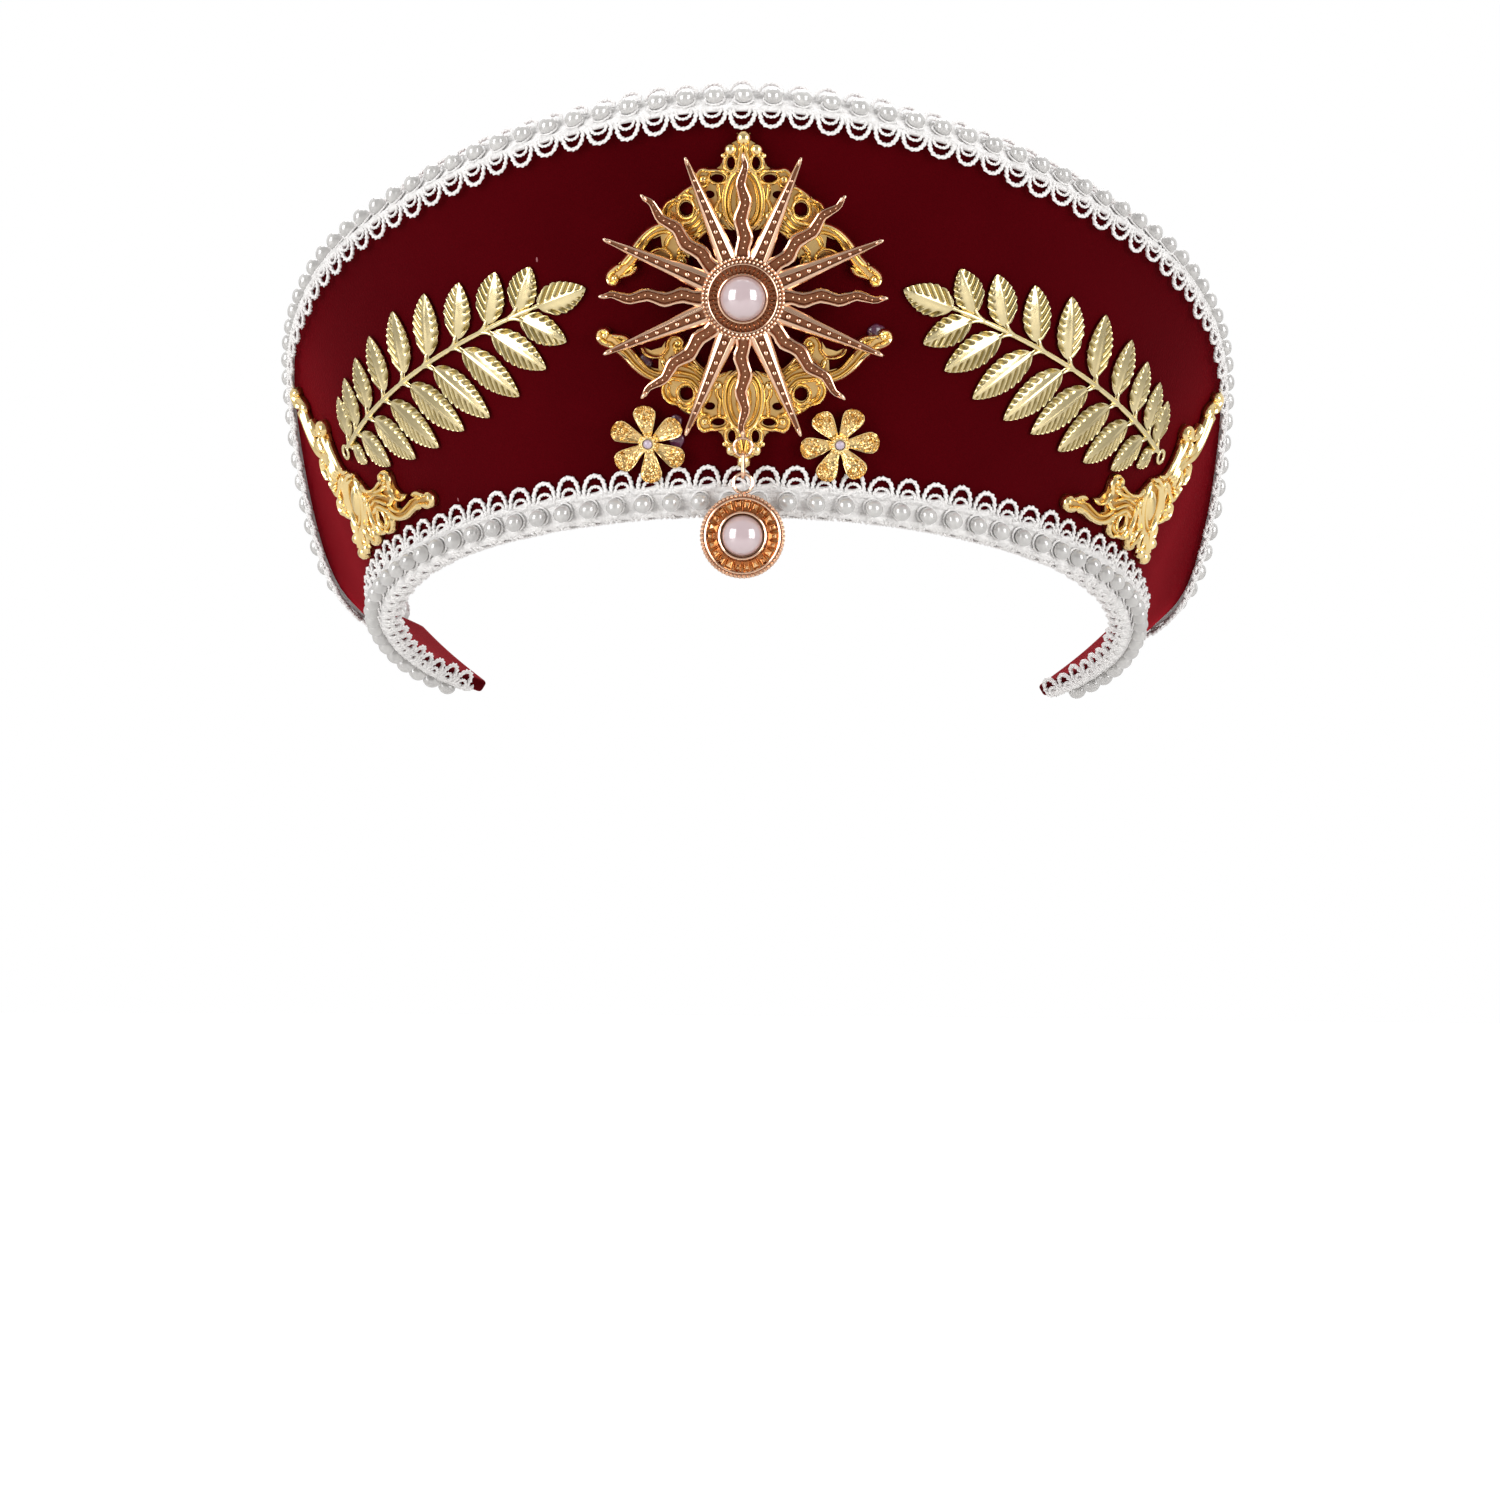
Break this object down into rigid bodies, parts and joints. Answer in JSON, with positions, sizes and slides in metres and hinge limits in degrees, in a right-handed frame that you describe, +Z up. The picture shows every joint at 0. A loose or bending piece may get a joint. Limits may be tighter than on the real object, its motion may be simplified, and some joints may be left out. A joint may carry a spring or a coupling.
{
  "type": "crown headpiece",
  "caption": "Open-backed halo crown of padded velvet, edged with pearl trim and set with a sunburst, crests, leaves, flowers and a hanging drop.",
  "frame": {"origin": "centre of the leaning oval that the lower pearls follow, level with that oval's middle, in the pose in which the crown is worn", "axes": "+Z up, the front faces -Y, +X to the viewer's right"},
  "size_m": [0.224, 0.1699, 0.1328],
  "materials": {
    "crown_shell": "short-pile crimson velvet",
    "pearl_trim": "white cord braid with imitation pearls",
    "yellow_gold": "bright gold plate",
    "pale_gold": "bright pale gold plate",
    "rose_gold": "polished rose gold plate",
    "pink_pearl": "pale pink pearl lustre"
  },
  "bodies": {
    "crown": {"crown_shell": "crown_shell", "upper_pearl_trim": "pearl_trim", "lower_pearl_trim": "pearl_trim", "crest_top": "yellow_gold", "crest_bottom": "yellow_gold", "side_crest_left": "yellow_gold", "side_crest_right": "yellow_gold", "leaf_branch_left": "pale_gold", "leaf_branch_right": "pale_gold", "flower_left": "yellow_gold", "flower_right": "yellow_gold", "sunburst": "rose_gold", "sunburst_pearl": "pink_pearl"},
    "link": {"drop_link": "rose_gold"},
    "drop": {"drop_pendant": "rose_gold", "drop_pearl": "pink_pearl"}
  },
  "joints": [
    {"name": "link_sideways_swing", "type": "hinge", "parent": "crown", "child": "link", "pos_m": [0, -0.09196, 0.03623], "axis": [0, -0.9769, -0.2137], "range_deg": [-40, 40]},
    {"name": "drop_forward_swing", "type": "hinge", "parent": "link", "child": "drop", "pos_m": [0, -0.09152, 0.03033], "axis": [1, 0, 0], "range_deg": [-70, 5]}
  ]
}
